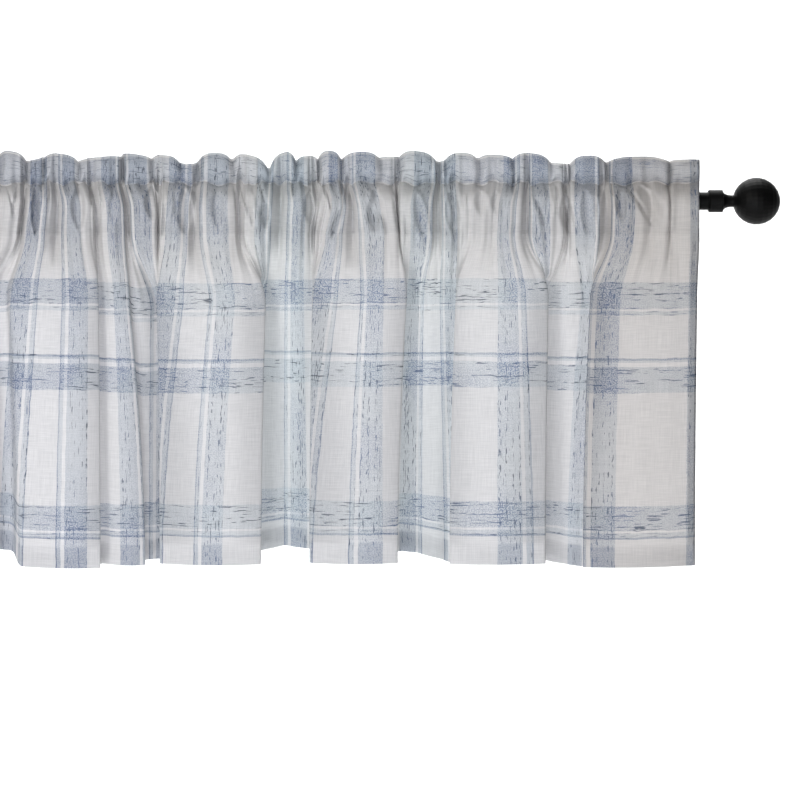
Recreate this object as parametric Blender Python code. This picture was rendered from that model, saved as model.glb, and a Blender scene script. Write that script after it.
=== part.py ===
"""Rod-pocket window valance on its curtain rod.

One cloth, 60 x 15 in flat, is gathered on a 5/8 in rod with a ball finial at each end.
The cloth is one solid: a hemmed skirt, a pocket that goes round the rod, and a doubled
header that stands above it. Units are metres, +Z is up, the front faces -Y, and the origin
is on the rod's axis, midway between the finials.
"""

import math
from collections import namedtuple

import bmesh
import bpy
from mathutils import Vector

MM = 0.001

# Rod and finials, in millimetres.
ROD_DIAMETER = 16.0
ROD_WALL = 1.0
ROD_SHOWN = 711.0            # 28 in between the two collars
SOCKET_DEPTH = 11.0          # ends inside the collar
FIT_GAP = 0.3
COLLAR_DIAMETER = 20.2
COLLAR_LENGTH = 12.6
COLLAR_CHAMFER = 0.8
NECK_DIAMETER = 10.7
NECK_START = 20.0
BALL_DIAMETER = 42.5
BALL_CENTRE = 43.5           # from the collar's open face
TURNED_SIDES = 32

# Cloth, in millimetres.
CLOTH_WIDTH = 1524.0         # flat, side hem to side hem
CLOTH_THICKNESS = 1.2
CLOTH_RIGHT = 345.5          # X of the right-hand side hem
HEADER_SEAM = 16.3           # heights above the rod's axis
POCKET_SEAM = -29.0
HEM_LINE = -328.0
PLEAT_TOP = 36.0             # header height in the bottom of a pleat
UPPER_SHARE = 0.8            # share of the skirt's height where the upper fold sizes are taken
COLUMN_PITCH = 15.0          # cloth from one column of points to the next
MITER_LIMIT = 1.5            # most that the cloth's half thickness grows in a sharp fold
SOFTNESS = 7.0               # cloth on each side of a corner that its bend takes up
BEND_WEIGHTS = (1, 4, 6, 4, 1)   # how that cloth counts in the bend
EDGE_REACH = 2.5             # what that bend takes off a fold's corner
UPPER_TUCK = 22.0            # most cloth a fold hides behind its neighbour, upper and hem
HEM_TUCK = 40.0
TUCK_SLOPE = 1.5             # a tuck's reach over the depth it has to lie in
PANEL_BOW = 0.3              # how far a panel bows forward for its spare cloth, and the most
MOST_BOW = 7.0
CREST_BOW = 0.3              # the same for a crest of the gathers, as a share of their depth
HEM_EASE = 1.8               # above 1, the folds take their hem sizes sooner on the way down
SEAM_WEB = 1.5               # cloth between a line of stitching and the end of the pocket
GATHER_DEPTH = 18.0          # depth from a crest to the bottom of a full pleat
CREST_EDGE = 0.78            # share of that depth at the two sides of a crest
TUCK_FADE = 0.40             # share of the way up to the pocket where the tucks have opened
SKIRT_ROWS = (0.0, 0.15, 0.36, 0.58, 0.80, 0.84, 0.88, 0.93, 1.0)
HEADER_ROWS = (0.5, 1.0)

# A stretch of cloth seen from the front: where it lies on the flat cloth, how far it is from
# the right-hand edge as it hangs, and its depth (minus is towards the viewer).
Span = namedtuple("Span", "flat_right flat_left across_right across_left depth_right depth_left")

# One row for each panel and valley, right to left, with its span at the upper level and at the
# hem, and how far the cloth is lifted there.
Fold = namedtuple("Fold", "name upper hem lift_upper lift_hem")
FOLDS = (
    Fold("right panel", Span(0, 116, 0, 97, -8, -15), Span(0, 116, 0, 103, -15, -25), -2, -2),
    Fold("fourth valley", Span(172, 217, 97, 134, 9, 9), Span(157, 226, 104, 142, 12, 18), -3, -1),
    Fold("fourth panel", Span(294, 403, 135, 218, -12, -13), Span(308, 398, 137, 224, -21, -23), 3, 4),
    Fold("third valley", Span(427, 525, 218, 262, 9, 7), Span(452, 525, 224, 269, 20, 14), 1, 4),
    Fold("third panel", Span(566, 701, 263, 348, -14, -14), Span(584, 670, 271, 351, -24, -22), 3, 5),
    Fold("second valley", Span(756, 836, 348, 390, 9, 10), Span(771, 836, 353, 394, 20, 22), 0, 13),
    Fold("second panel", Span(905, 1041, 391, 488, -14, -14), Span(899, 1014, 395, 486, -26, -22), -3, 0),
    Fold("first valley", Span(1139, 1176, 489, 513, 12, -2), Span(1136, 1149, 488, 497, 14, 10), -10, -2),
    Fold("first panel", Span(1182, 1244, 515, 541, -12, -4), Span(1182, 1236, 500, 538, -18, -10), -2, -2),
    Fold("lapped panel", Span(1272, 1389, 542, 622, -18, -10), Span(1272, 1359, 540, 614, -27, -18), 3, -3),
    Fold("left valley", Span(1394, 1421, 624, 641, 4, 8), Span(1366, 1396, 618, 638, 2, 12), -1, 8),
    Fold("left panel", Span(1448, CLOTH_WIDTH, 643, 691, -12, -8),
         Span(1446, CLOTH_WIDTH, 642, 691, -22, -15), 0, 0),
)

# One row for each crest of the gathered header and pocket, right to left. The cloth between
# two crests is drawn back into a pleat.
Crest = namedtuple("Crest", "flat_right flat_left across_right across_left top")
CRESTS = (
    Crest(0, 27, -2, 23, 38), Crest(41, 54, 28, 38, 36), Crest(68, 107, 48, 76, 40),
    Crest(156, 186, 92, 113, 40), Crest(237, 279, 124, 149, 39), Crest(312, 362, 158, 178, 42),
    Crest(371, 424, 183, 216, 42), Crest(434, 452, 223, 229, 43), Crest(498, 543, 239, 267, 44),
    Crest(579, 624, 277, 309, 44), Crest(665, 715, 323, 339, 45), Crest(765, 801, 354, 369, 42),
    Crest(837, 891, 385, 406, 42), Crest(937, 973, 420, 447, 43), Crest(1009, 1050, 459, 482, 40),
    Crest(1109, 1142, 495, 516, 43), Crest(1187, 1222, 526, 543, 39), Crest(1267, 1314, 555, 575, 43),
    Crest(1348, 1389, 588, 604, 40), Crest(1421, 1448, 614, 631, 45), Crest(1480, CLOTH_WIDTH, 645, 691, 41),
)

# Mid-line of the pocket's layers round the rod: height, depth in a pleat and depth on a crest.
PocketRow = namedtuple("PocketRow", "height pleat crest")
POCKET_FRONT = (
    PocketRow(-18.0, -4.0, -16.5), PocketRow(-5.0, -10.0, -19.5), PocketRow(2.8, -9.7, -18.0),
    PocketRow(7.2, -6.6, -13.5), PocketRow(9.5, -2.0, -7.5),
)
POCKET_BACK = (
    PocketRow(-18.0, 13.0, 3.0), PocketRow(-5.0, 15.5, 9.0), PocketRow(2.8, 15.0, 9.0),
    PocketRow(7.2, 11.5, 6.0), PocketRow(9.5, 6.5, 1.8),
)
POCKET_SEAM_DEPTH = (8.0, -12.0)     # in a pleat, on a crest
HEADER_SEAM_DEPTH = (4.5, -8.0)
HEADER_TOP_DEPTH = (8.0, -10.5)


def lerp(a, b, t):
    return a + (b - a) * t


def ease(t):
    t = min(max(t, 0.0), 1.0)
    return t * t * (3.0 - 2.0 * t)


def straight(corners, flat):
    """Point at a flat position on the straight lines between (flat, across, depth) corners."""
    last = len(corners) - 2
    index = 0
    while index < last and corners[index + 1][0] < flat:
        index += 1
    start, end = corners[index], corners[index + 1]
    t = (flat - start[0]) / (end[0] - start[0])
    return [lerp(a, b, t) for a, b in zip(start[1:], end[1:])]


def softened(corners, flat):
    """The same line with its corners rounded over a stretch of cloth."""
    middle = len(BEND_WEIGHTS) // 2
    points = []
    for step in range(-middle, middle + 1):
        points.append(straight(corners, flat + step * SOFTNESS / middle))
    total = sum(BEND_WEIGHTS)
    return [sum(w * value for w, value in zip(BEND_WEIGHTS, values)) / total for values in zip(*points)]


def bowed(span):
    """Corners along one panel, which bows forward where it holds more cloth than its width."""
    width = span.across_left - span.across_right
    spare = max((span.flat_left - span.flat_right) / width - 1.0, 0.0)
    bow = min(PANEL_BOW * width * math.sqrt(spare), MOST_BOW)
    corners = []
    for t in (0.0, 0.25, 0.5, 0.75, 1.0):
        depth = lerp(span.depth_right, span.depth_left, t) - 4.0 * bow * t * (1.0 - t)
        corners.append([lerp(span.flat_right, span.flat_left, t),
                        lerp(span.across_right, span.across_left, t), depth])
    return corners


def tuck(near, far, most):
    """Corner of the cloth hidden between two spans, behind the one that is in front."""
    hidden = far[0] - near[0]
    step = abs(far[2] - near[2])
    reach = min(math.sqrt(max((hidden / 2) ** 2 - (step / 2) ** 2, 0.0)), most, TUCK_SLOPE * step)
    side = -1.0 if near[2] < far[2] else 1.0
    return [lerp(near[0], far[0], 0.5), lerp(near[1], far[1], 0.5) + side * reach,
            lerp(near[2], far[2], 0.5)]


def fold_corners(level, most):
    """All (flat, across, depth) corners of the skirt's plan at one level, right to left."""
    corners = []
    for fold in FOLDS:
        stretch = bowed(getattr(fold, level))
        if corners:
            near = corners[-1]
            hidden = tuck(near, stretch[0], most)
            front = near if near[2] < stretch[0][2] else stretch[0]
            front[1] += EDGE_REACH if front is near else -EDGE_REACH
            corners.append(hidden)
        corners += stretch
    return corners


def lift_corners():
    """(flat, upper lift, hem lift) corners, one for each end of a fold."""
    corners = []
    for fold in FOLDS:
        corners.append((fold.upper.flat_right, fold.lift_upper, fold.lift_hem))
        corners.append((fold.upper.flat_left, fold.lift_upper, fold.lift_hem))
    return corners


def crest_corners():
    """(flat, across, crest share, top height) corners of the gathered header and pocket."""
    corners = []
    for crest in CRESTS:
        if corners:
            last = corners[-1]
            hidden, gap = crest.flat_right - last[0], crest.across_right - last[1]
            drop = math.sqrt(max((hidden / 2) ** 2 - (gap / 2) ** 2, 0.0)) / GATHER_DEPTH
            share = max(CREST_EDGE - drop, 0.0)
            corners.append((last[0] + hidden / 2, last[1] + gap / 2, share,
                            lerp(PLEAT_TOP, crest.top, share)))
        width = crest.across_left - crest.across_right
        spare = (crest.flat_left - crest.flat_right) / width - 1.0
        bow = CREST_BOW * min(math.sqrt(max(spare, 0.0)), 1.0)
        for t, share in ((0.0, CREST_EDGE), (0.5, CREST_EDGE + bow), (1.0, CREST_EDGE)):
            corners.append((lerp(crest.flat_right, crest.flat_left, t),
                            lerp(crest.across_right, crest.across_left, t), share, crest.top))
    return corners


UPPER = fold_corners("upper", UPPER_TUCK)
UPPER_OPEN = fold_corners("upper", 0.0)
HEM = fold_corners("hem", HEM_TUCK)
LIFTS = lift_corners()
GATHERS = crest_corners()


def columns():
    """(upper flat, hem flat) for each column of points: each fold's corner keeps a column."""
    flats = [(UPPER[0][0], HEM[0][0])]
    for index in range(1, len(UPPER)):
        upper_start, upper_end = UPPER[index - 1][0], UPPER[index][0]
        hem_start, hem_end = HEM[index - 1][0], HEM[index][0]
        longest = max(upper_end - upper_start, hem_end - hem_start)
        count = max(1, round(longest / COLUMN_PITCH))
        for step in range(1, count + 1):
            t = step / count
            flats.append((lerp(upper_start, upper_end, t), lerp(hem_start, hem_end, t)))
    return flats


def at(across, depth, height):
    """A point in metres from sizes in millimetres."""
    return Vector(((CLOTH_RIGHT - across) * MM, depth * MM, height * MM))


def skirt_point(upper_flat, hem_flat, share):
    """Mid-surface point of the skirt: share 0 at the hem, 1 at the pocket's bottom seam."""
    gather = softened(GATHERS, upper_flat)
    upper = softened(UPPER, upper_flat)
    hem = softened(HEM, hem_flat)
    lift_upper, lift_hem = softened(LIFTS, upper_flat)
    if share >= UPPER_SHARE:
        t = (share - UPPER_SHARE) / (1.0 - UPPER_SHARE)
        opened = softened(UPPER_OPEN, upper_flat)
        tucked = (upper[0] - opened[0]) * (1.0 - ease(t / TUCK_FADE))
        across = lerp(opened[0], gather[0], ease(t)) + tucked
        gathered = ease((t - TUCK_FADE) / (1.0 - TUCK_FADE))
        depth = lerp(upper[1], lerp(*POCKET_SEAM_DEPTH, gather[1]), gathered)
        lift = lerp(lift_upper, 0.0, t)
    else:
        t = 1.0 - share / UPPER_SHARE
        blend = 1.0 - (1.0 - t) ** HEM_EASE
        across = lerp(upper[0], hem[0], blend)
        depth = lerp(upper[1], hem[1], blend)
        lift = lerp(lift_upper, lift_hem, t)
    return at(across, depth, lerp(HEM_LINE, POCKET_SEAM, share) + lift)


def pocket_points(upper_flat, rows):
    """Mid-line points of one pocket layer, which never comes nearer to the rod than its row."""
    across, crest, _ = softened(GATHERS, upper_flat)
    crest = min(crest, 1.0)
    return [at(across, lerp(row.pleat, row.crest, crest), row.height) for row in rows]


def header_points(upper_flat):
    across, crest, top = softened(GATHERS, upper_flat)
    points = [at(across, lerp(*HEADER_SEAM_DEPTH, crest), HEADER_SEAM)]
    for share in HEADER_ROWS:
        depth = lerp(lerp(*HEADER_SEAM_DEPTH, crest), lerp(*HEADER_TOP_DEPTH, crest), share)
        points.append(at(across, depth, lerp(HEADER_SEAM, top, share)))
    return points


def sheet_normals(grid):
    """Normals of a grid of points, pointing to the back and a little longer in sharp folds."""
    last_column, last_row = len(grid) - 1, len(grid[0]) - 1
    normals = []
    for c, column in enumerate(grid):
        line = []
        for r, point in enumerate(column):
            before = (point - grid[c - 1][r]).normalized() if c > 0 else Vector()
            after = (grid[c + 1][r] - point).normalized() if c < last_column else Vector()
            along = before + after
            miter = min(2.0 / along.length, MITER_LIMIT) if 0 < c < last_column else 1.0
            up = grid[c][min(r + 1, last_row)] - grid[c][max(r - 1, 0)]
            line.append(along.cross(up).normalized() * miter)
        normals.append(line)
    return normals


def section_points():
    """Outer and inner points of every column, as name -> list of points from the hem up."""
    front, back = [], []
    for upper_flat, hem_flat in columns():
        skirt = [skirt_point(upper_flat, hem_flat, share) for share in SKIRT_ROWS]
        header = header_points(upper_flat)
        front.append(skirt + pocket_points(upper_flat, POCKET_FRONT) + header)
        back.append(skirt + pocket_points(upper_flat, POCKET_BACK) + header)
    front_normals, back_normals = sheet_normals(front), sheet_normals(back)
    half = CLOTH_THICKNESS / 2 * MM
    seam, top_seam = len(SKIRT_ROWS) - 1, len(SKIRT_ROWS) + len(POCKET_FRONT)
    sections = []
    for c in range(len(front)):
        outer_front, outer_back, inner_front, inner_back = [], [], [], []
        for r in range(len(front[c])):
            layers = 2.0 if r >= top_seam else 1.0
            outer_front.append(front[c][r] - front_normals[c][r] * half * layers)
            outer_back.append(back[c][r] + back_normals[c][r] * half * layers)
            if seam < r < top_seam:
                inner_front.append(front[c][r] + front_normals[c][r] * half)
                inner_back.append(back[c][r] - back_normals[c][r] * half)
        low = front[c][seam] + Vector((0, 0, SEAM_WEB * MM))
        high = front[c][top_seam] - Vector((0, 0, SEAM_WEB * MM))
        sections.append({"front": outer_front, "back": outer_back,
                         "inner_front": [low] + inner_front + [high],
                         "inner_back": [low] + inner_back + [high]})
    return sections


def add_strip(mesh, left, right):
    """Triangles between two neighbouring lines of vertices, always cut along one diagonal."""
    for r in range(len(left) - 1):
        for corners in ((left[r], right[r], right[r + 1]), (left[r], right[r + 1], left[r + 1])):
            if len(set(corners)) == 3:
                mesh.faces.new(corners)


def make_material(name, colour, roughness, metallic):
    material = bpy.data.materials.new(name)
    material.use_nodes = True
    shader = material.node_tree.nodes["Principled BSDF"]
    shader.inputs["Base Color"].default_value = (*colour, 1.0)
    shader.inputs["Roughness"].default_value = roughness
    shader.inputs["Metallic"].default_value = metallic
    material.diffuse_color = (*colour, 1.0)
    return material


def add_object(name, mesh, material):
    bmesh.ops.recalc_face_normals(mesh, faces=mesh.faces)
    data = bpy.data.meshes.new(name)
    mesh.to_mesh(data)
    mesh.free()
    data.materials.append(material)
    data.shade_smooth()
    thing = bpy.data.objects.new(name, data)
    bpy.context.collection.objects.link(thing)
    return thing


def make_cloth(material):
    """The valance: skirt, pocket round the rod and doubled header, closed at both side hems."""
    mesh = bmesh.new()
    lines = []
    for section in section_points():
        line = {key: [mesh.verts.new(point) for point in section[key]]
                for key in ("front", "back", "inner_front")}
        ends = line["inner_front"]
        between = [mesh.verts.new(point) for point in section["inner_back"][1:-1]]
        line["inner_back"] = [ends[0]] + between + [ends[-1]]
        lines.append(line)
    for here, after in zip(lines, lines[1:]):
        for key in ("front", "back", "inner_front", "inner_back"):
            add_strip(mesh, here[key], after[key])
        for row in (0, -1):
            add_strip(mesh, (here["front"][row], here["back"][row]),
                      (after["front"][row], after["back"][row]))
    seam, top_seam = len(SKIRT_ROWS) - 1, len(SKIRT_ROWS) + len(POCKET_FRONT)
    for line in (lines[0], lines[-1]):
        add_strip(mesh, line["front"][:seam + 1], line["back"][:seam + 1])
        add_strip(mesh, line["front"][top_seam:], line["back"][top_seam:])
        for outer, inner in (("front", "inner_front"), ("back", "inner_back")):
            add_strip(mesh, line[outer][seam:top_seam + 1], line[inner])
        for row, end in ((seam, 0), (top_seam, -1)):
            mesh.faces.new((line["front"][row], line["back"][row], line["inner_front"][end]))
    return add_object("valance_cloth", mesh, material)


def turned(name, profile, material):
    """A solid turned on the X axis from (x, radius) points; radius 0 is a pole."""
    mesh = bmesh.new()
    rings = []
    for x, radius in profile:
        if radius == 0.0:
            rings.append([mesh.verts.new((x * MM, 0.0, 0.0))] * TURNED_SIDES)
            continue
        ring = []
        for side in range(TURNED_SIDES):
            angle = 2 * math.pi * side / TURNED_SIDES
            y, z = radius * math.cos(angle), radius * math.sin(angle)
            ring.append(mesh.verts.new((x * MM, y * MM, z * MM)))
        rings.append(ring)
    if profile[0][1] > 0.0:
        rings.append(rings[0])
    for here, after in zip(rings, rings[1:]):
        for side in range(TURNED_SIDES):
            following = (side + 1) % TURNED_SIDES
            corners = [here[side], here[following], after[following], after[side]]
            mesh.faces.new(list(dict.fromkeys(corners)))
    thing = add_object(name, mesh, material)
    thing.data.set_sharp_from_angle(angle=math.radians(35))
    return thing


def make_rod(material):
    """Tube whose ends sit in the finials' sockets."""
    end = ROD_SHOWN / 2 + SOCKET_DEPTH - FIT_GAP
    outer = ROD_DIAMETER / 2
    inner = outer - ROD_WALL
    profile = [(-end, inner), (-end, outer), (end, outer), (end, inner)]
    return turned("rod", profile, material)


def finial_profile():
    """Socket, collar, waist and ball, as (distance from the collar's open face, radius)."""
    socket = ROD_DIAMETER / 2 + FIT_GAP
    collar, neck, ball = COLLAR_DIAMETER / 2, NECK_DIAMETER / 2, BALL_DIAMETER / 2
    profile = [(SOCKET_DEPTH, 0.0), (SOCKET_DEPTH, socket), (0.0, socket),
               (0.0, collar - COLLAR_CHAMFER), (COLLAR_CHAMFER, collar), (COLLAR_LENGTH, collar)]
    for step in (1, 2, 3, 4):
        angle = math.pi / 2 * step / 4
        profile.append((lerp(COLLAR_LENGTH, NECK_START, 1.0 - math.cos(angle)),
                        lerp(collar, neck, math.sin(angle))))
    first = math.asin(neck / ball)
    count = 12
    for step in range(count):
        angle = lerp(first, math.pi, step / count)
        profile.append((BALL_CENTRE - ball * math.cos(angle), ball * math.sin(angle)))
    profile.append((BALL_CENTRE + ball, 0.0))
    return profile


def make_finials(material):
    for name, side in (("finial_right", 1.0), ("finial_left", -1.0)):
        finial = turned(name, finial_profile(), material)
        finial.location = (side * ROD_SHOWN / 2 * MM, 0.0, 0.0)
        if side < 0:
            finial.rotation_euler = (0.0, 0.0, math.pi)


def main():
    for thing in list(bpy.data.objects):
        bpy.data.objects.remove(thing)
    cloth = make_material("plaid_cloth", (0.68, 0.70, 0.74), 0.85, 0.0)
    black = make_material("black_powder_coat", (0.008, 0.008, 0.008), 0.55, 0.0)
    make_cloth(cloth)
    make_rod(black)
    make_finials(black)


main()
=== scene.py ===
# %% [markdown]
# A window valance is a short curtain that hides the top of a window. This one is a single length of light
# plaid cloth. Its top is turned over and stitched twice, so that it has a pocket for the rod and a doubled
# header that stands up above it as a ruffle. Far more cloth than the rod is long has been pushed along it,
# and that is what makes the folds. The lesson dresses a ready-made frame of the same object: the rod and
# its two finials keep their shapes and get a finish, and the cloth's plain solid gives way to a fine sheet.

import math
from collections import namedtuple

import bpy
import numpy as np
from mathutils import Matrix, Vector


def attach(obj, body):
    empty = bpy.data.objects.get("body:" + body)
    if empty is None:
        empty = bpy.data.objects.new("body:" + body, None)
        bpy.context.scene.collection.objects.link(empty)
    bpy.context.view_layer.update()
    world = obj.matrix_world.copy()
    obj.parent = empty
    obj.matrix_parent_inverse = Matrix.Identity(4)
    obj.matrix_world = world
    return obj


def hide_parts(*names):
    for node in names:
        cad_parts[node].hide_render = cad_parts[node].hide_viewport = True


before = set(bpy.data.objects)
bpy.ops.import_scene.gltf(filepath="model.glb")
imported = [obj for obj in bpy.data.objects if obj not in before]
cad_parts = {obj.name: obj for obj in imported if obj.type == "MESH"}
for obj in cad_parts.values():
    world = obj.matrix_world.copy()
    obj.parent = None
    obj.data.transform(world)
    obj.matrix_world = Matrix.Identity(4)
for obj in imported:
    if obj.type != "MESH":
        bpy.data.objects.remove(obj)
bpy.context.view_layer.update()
MM = 0.001

# %% [markdown]
# The camera comes first, because every later choice is judged through it. The rod in the picture is seen
# almost level and the hems of the deep folds look higher than those of the front ones, so the camera is at
# the rod's height. It looks straight ahead, and its frame is shifted down to the middle of the picture,
# which keeps upright lines upright. The lens follows from the size of one pixel at the cloth.

# %% Camera
PICTURE_SIDE = 800           # pixels
PIXEL_MM = 0.905             # one pixel's size at the cloth
CAMERA_AWAY = 1900.0         # mm in front of the rod
CAMERA_HEIGHT = 20.0         # mm above the rod's axis
PICTURE_MIDDLE = (76.5, -180.0)   # mm: X and Z of the point that the camera looks at
SENSOR_MM = 36.0

eye = Vector((PICTURE_MIDDLE[0], -CAMERA_AWAY, CAMERA_HEIGHT)) * MM

camera_data = bpy.data.cameras.new("camera")
camera_data.sensor_width = SENSOR_MM
camera_data.lens = SENSOR_MM * CAMERA_AWAY / (PICTURE_SIDE * PIXEL_MM)
camera_data.shift_y = (PICTURE_MIDDLE[1] - CAMERA_HEIGHT) / (PICTURE_SIDE * PIXEL_MM)
camera_data.clip_end = 50.0
camera = bpy.data.objects.new("camera", camera_data)
camera.location = eye
camera.rotation_euler = (math.radians(90.0), 0.0, 0.0)
bpy.context.collection.objects.link(camera)
bpy.context.scene.camera = camera
print("lens", round(camera_data.lens, 1), "mm, shift", round(camera_data.shift_y, 3))

# %% [markdown]
# Colours are written the way a paint program shows them, as sRGB hex. Blender's shaders count in linear
# light, so one function turns the one into the other. A second small function adds any node with its
# settings and its links, which keeps each material readable as a list.


# %% Colour and node helpers
def linear(hex_colour):
    """Linear RGBA from an sRGB hex colour such as '#E6E7EA'."""
    values = [int(hex_colour[i:i + 2], 16) / 255 for i in (1, 3, 5)]
    return [v / 12.92 if v <= 0.04045 else ((v + 0.055) / 1.055) ** 2.4 for v in values] + [1.0]


def add(tree, kind, inputs=None, **settings):
    """Adds one node. inputs are numbers, colours or the sockets that feed them."""
    node = tree.nodes.new(kind)
    for name, value in settings.items():
        setattr(node, name, value)
    for key, value in (inputs or {}).items():
        if isinstance(value, bpy.types.NodeSocket):
            tree.links.new(value, node.inputs[key])
        else:
            node.inputs[key].default_value = value
    return node


def new_material(name):
    """An empty node material and its output node."""
    material = bpy.data.materials.new(name)
    material.use_nodes = True
    material.node_tree.nodes.clear()
    return material, add(material.node_tree, "ShaderNodeOutputMaterial")


print("white is", [round(v, 2) for v in linear("#FFFFFF")])

# %% [markdown]
# The cloth's shape is a matter of bookkeeping. Every point of the flat cloth has a place across the rod and
# a depth, and each fold hides some cloth behind its neighbour. The two tables are the frame's own: one row
# for each front panel and each valley of the skirt, and one row for each crest of the gathers on the rod. A
# cloth simulation could find folds of its own, but they wouldn't be the ones in the picture, so they are
# listed.

# %% Sizes of the cloth
CLOTH_WIDTH = 1524.0         # flat, side hem to side hem
CLOTH_RIGHT = 345.5          # X of the right-hand side hem
HEADER_SEAM = 16.3           # heights above the rod's axis
POCKET_SEAM = -29.0
HEM_LINE = -328.0
UPPER_SHARE = 0.8
SOFTNESS = 7.0
BEND_WEIGHTS = (1, 4, 6, 4, 1)
EDGE_REACH = 2.5
UPPER_TUCK = 22.0
HEM_TUCK = 40.0
TUCK_SLOPE = 1.5
PANEL_BOW = 0.3
MOST_BOW = 7.0
CREST_BOW = 0.3
HEM_EASE = 1.8
GATHER_DEPTH = 18.0
CREST_EDGE = 0.78
PLEAT_REACH = 0.22           # share of a gap that the crest on each side overhangs
MOST_REACH = 1.2
TUCK_FADE = 0.40

Span = namedtuple("Span", "flat_right flat_left across_right across_left depth_right depth_left")
Fold = namedtuple("Fold", "name upper hem lift_upper lift_hem")
FOLDS = (
    Fold("right panel", Span(0, 116, 0, 97, -8, -15), Span(0, 116, 2, 103, -15, -25), -2, -2),
    Fold("fourth valley", Span(172, 217, 97, 134, 9, 9), Span(157, 226, 104, 142, 12, 18), -3, -1),
    Fold("fourth panel", Span(294, 403, 135, 218, -12, -13), Span(308, 398, 137, 224, -21, -23), 3, 4),
    Fold("third valley", Span(427, 525, 218, 262, 9, 7), Span(452, 525, 224, 269, 20, 14), 1, 4),
    Fold("third panel", Span(566, 701, 263, 348, -14, -14), Span(584, 670, 271, 351, -24, -22), 3, 5),
    Fold("second valley", Span(756, 836, 348, 390, 9, 10), Span(771, 836, 353, 394, 20, 22), 0, 13),
    Fold("second panel", Span(905, 1041, 391, 488, -14, -14), Span(899, 1014, 395, 486, -26, -22), -3, 0),
    Fold("first valley", Span(1139, 1176, 489, 513, 12, -2), Span(1136, 1149, 488, 497, 14, 10), -10, -2),
    Fold("first panel", Span(1182, 1244, 515, 541, -12, -4), Span(1182, 1236, 500, 538, -18, -10), -2, -2),
    Fold("lapped panel", Span(1272, 1389, 542, 622, -18, -10), Span(1272, 1359, 540, 614, -27, -18), 3, -3),
    Fold("left valley", Span(1394, 1421, 624, 641, 4, 8), Span(1366, 1396, 618, 638, 2, 12), -1, 8),
    Fold("left panel", Span(1448, CLOTH_WIDTH, 643, 691, -12, -8),
         Span(1446, CLOTH_WIDTH, 642, 691, -22, -15), 0, 0),
)
Crest = namedtuple("Crest", "flat_right flat_left across_right across_left")
CRESTS = (
    Crest(0, 27, -2.0, 23), Crest(41, 54, 28, 38), Crest(68, 107, 48, 76), Crest(156, 186, 92, 113),
    Crest(237, 279, 124, 149), Crest(312, 362, 158, 178), Crest(371, 424, 183, 216),
    Crest(434, 452, 223, 229), Crest(498, 543, 239, 267), Crest(579, 624, 277, 309),
    Crest(665, 715, 323, 339), Crest(765, 801, 354, 369), Crest(837, 891, 385, 406),
    Crest(937, 973, 420, 447), Crest(1009, 1050, 459, 482), Crest(1109, 1142, 495, 516),
    Crest(1187, 1222, 526, 543), Crest(1267, 1314, 555, 575), Crest(1348, 1389, 588, 604),
    Crest(1421, 1448, 614, 631), Crest(1480, CLOTH_WIDTH, 645, 691),
)
print(len(FOLDS), "panels and valleys,", len(CRESTS), "crests on the rod")

# %% [markdown]
# Three kinds of line are worked out from the tables. Inside a panel the cloth bows forward where it holds
# more cloth than its width. Between two spans it turns back behind the one in front. On the rod it drops
# back into a pleat between two crests, deeper where more cloth is hidden there. A line's corners are then
# softened, as cloth never folds to a point.


# %% Lines of the folds
def lerp(a, b, t):
    return a + (b - a) * t


def ease(t):
    t = np.clip(t, 0.0, 1.0)
    return t * t * (3.0 - 2.0 * t)


def softened(corners, flat, softness=SOFTNESS):
    """Values at flat positions on the lines between (flat, value...) corners, rounded at the corners."""
    table = np.array(corners, float)
    ends = (2.0 * table[0] - table[1], 2.0 * table[-1] - table[-2])
    table = np.vstack([ends[0], table, ends[1]])
    middle = len(BEND_WEIGHTS) // 2
    total = 0.0
    for step, weight in zip(range(-middle, middle + 1), BEND_WEIGHTS):
        near = flat + step * softness / middle
        total = total + weight * np.array([np.interp(near, table[:, 0], column) for column in table.T[1:]])
    return total / sum(BEND_WEIGHTS)


def bowed(span):
    """Corners along one panel, which bows forward where it holds more cloth than its width."""
    width = span.across_left - span.across_right
    spare = max((span.flat_left - span.flat_right) / width - 1.0, 0.0)
    bow = min(PANEL_BOW * width * math.sqrt(spare), MOST_BOW)
    return [[lerp(span.flat_right, span.flat_left, t), lerp(span.across_right, span.across_left, t),
             lerp(span.depth_right, span.depth_left, t) - 4.0 * bow * t * (1.0 - t)]
            for t in (0.0, 0.25, 0.5, 0.75, 1.0)]


def tuck(near, far, most):
    """Corner of the cloth hidden between two spans, behind the one that is in front."""
    hidden, step = far[0] - near[0], abs(far[2] - near[2])
    reach = min(math.sqrt(max((hidden / 2) ** 2 - (step / 2) ** 2, 0.0)), most, TUCK_SLOPE * step)
    side = -1.0 if near[2] < far[2] else 1.0
    return [lerp(near[0], far[0], 0.5), lerp(near[1], far[1], 0.5) + side * reach, lerp(near[2], far[2], 0.5)]


def fold_corners(level, most):
    """(flat, across, depth) corners of the skirt's plan at one level, right to left."""
    corners = []
    for fold in FOLDS:
        stretch = bowed(getattr(fold, level))
        if corners:
            near = corners[-1]
            hidden = tuck(near, stretch[0], most)
            front = near if near[2] < stretch[0][2] else stretch[0]
            front[1] += EDGE_REACH if front is near else -EDGE_REACH
            corners.append(hidden)
        corners += stretch
    return corners


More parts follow.
